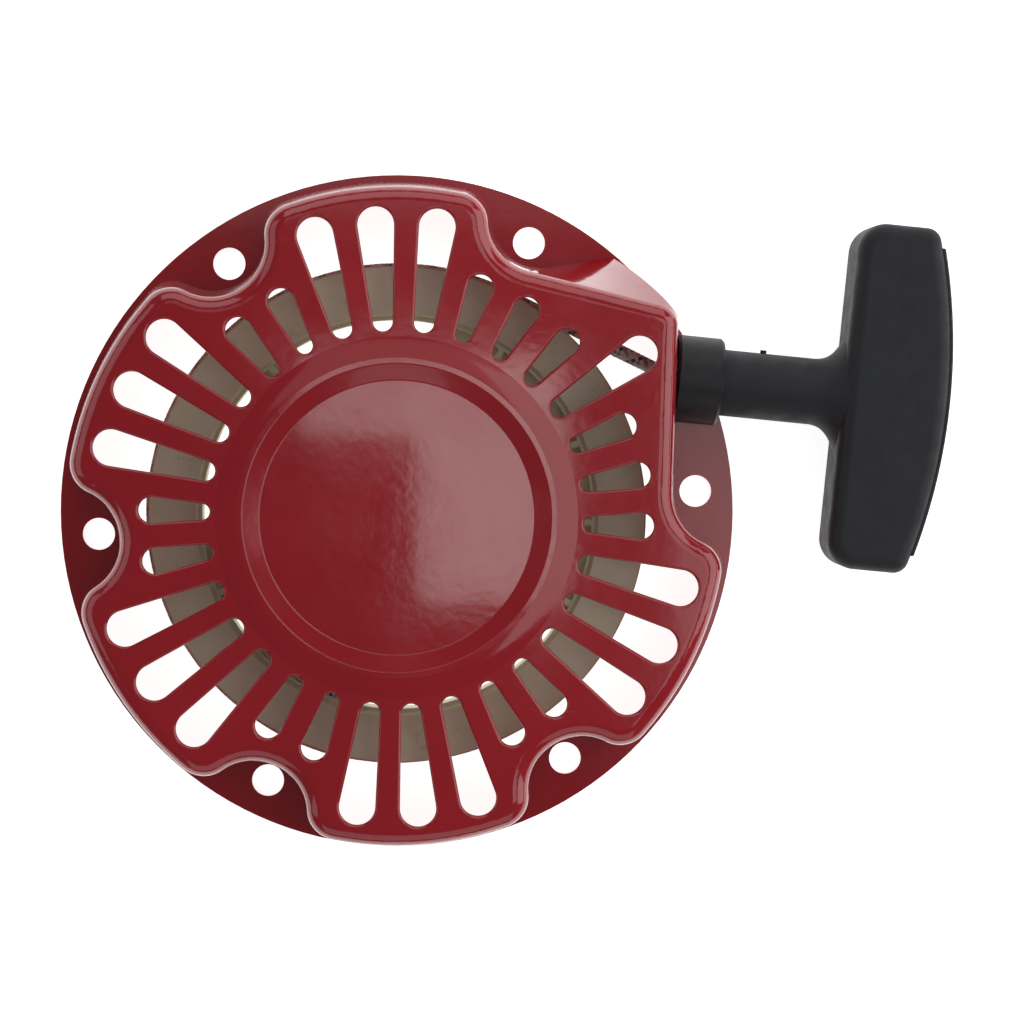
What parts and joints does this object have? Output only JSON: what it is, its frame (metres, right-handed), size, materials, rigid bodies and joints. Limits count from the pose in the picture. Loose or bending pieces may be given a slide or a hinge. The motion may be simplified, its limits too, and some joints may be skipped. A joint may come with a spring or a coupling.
{
  "type": "recoil starter",
  "caption": "Pull starter for a small engine: slotted red pressed-steel case with a rope reel, recoil spring, ratchets and a black T-shaped grip on a cord.",
  "frame": {"origin": "centre of the bolt circle on the flange's mounting face", "axes": "+Z along the reel's axis, away from the engine; +X the way the grip is pulled"},
  "size_m": [0.2516, 0.196, 0.0394],
  "materials": {
    "case_enamel": "glossy deep red enamel on pressed steel",
    "post_steel": "turned steel, lightly oiled",
    "eyelet_steel": "rolled plated steel",
    "zinc_steel": "zinc plated steel",
    "reel_nylon": "tan moulded nylon",
    "spring_steel": "blued spring strip",
    "spring_wire": "bright spring wire",
    "ratchet_steel": "hardened steel",
    "guide_steel": "zinc plated pressed steel",
    "rope_braid": "braided polyester cord, grey with black and white flecks",
    "grip_rubber": "matt black moulded rubber",
    "cover_rubber": "matt black moulded rubber",
    "collar_rubber": "smooth black rubber"
  },
  "bodies": {
    "case": {"starter_case": "case_enamel", "centre_post": "post_steel", "rope_eyelet": "eyelet_steel", "setting_screw": "zinc_steel", "rope_run": "rope_braid"},
    "reel": {"reel": "reel_nylon", "recoil_spring": "spring_steel", "rope_coil": "rope_braid", "reel_knot": "rope_braid", "ratchet_spring_a": "spring_wire", "ratchet_spring_b": "spring_wire"},
    "ratchet_a": {"ratchet_a": "ratchet_steel"},
    "ratchet_b": {"ratchet_b": "ratchet_steel"},
    "guide": {"ratchet_guide": "guide_steel", "friction_spring": "spring_wire"},
    "handle": {"grip": "grip_rubber", "grip_back_cover": "cover_rubber", "stop_collar": "collar_rubber", "rope_retainer": "zinc_steel", "grip_knot": "rope_braid", "rope_lead": "rope_braid"}
  },
  "joints": [
    {"name": "handle_pull", "type": "slide", "parent": "case", "child": "handle", "axis": [1, 0, 0], "range_m": [0, 0.8], "stiffness_N_per_m": 15, "springref_m": -0.5, "deforming": ["rope_run"]},
    {"name": "reel_spin", "type": "hinge", "parent": "case", "child": "reel", "pos_m": [0, 0, 0.02], "axis": [0, 0, 1], "range_deg": [-716, 0], "deforming": ["recoil_spring"]},
    {"name": "guide_turn", "type": "hinge", "parent": "reel", "child": "guide", "pos_m": [0, 0, 0.0105], "axis": [0, 0, 1], "range_deg": [0, 20], "stiffness_Nm_per_rad": 0.02, "springref_deg": -28.65},
    {"name": "ratchet_a_swing", "type": "hinge", "parent": "reel", "child": "ratchet_a", "pos_m": [0.022, 0, 0.0135], "axis": [0, 0, 1], "range_deg": [0, 20], "deforming": ["ratchet_spring_a"]},
    {"name": "ratchet_b_swing", "type": "hinge", "parent": "reel", "child": "ratchet_b", "pos_m": [-0.022, 0, 0.0135], "axis": [0, 0, 1], "range_deg": [0, 20], "deforming": ["ratchet_spring_b"]}
  ],
  "couplings": [
    {"joint": "reel_spin", "follows": "handle_pull", "rad_per_m": -15.6},
    {"joint": "ratchet_a_swing", "follows": "guide_turn", "ratio": 1},
    {"joint": "ratchet_b_swing", "follows": "guide_turn", "ratio": 1}
  ]
}
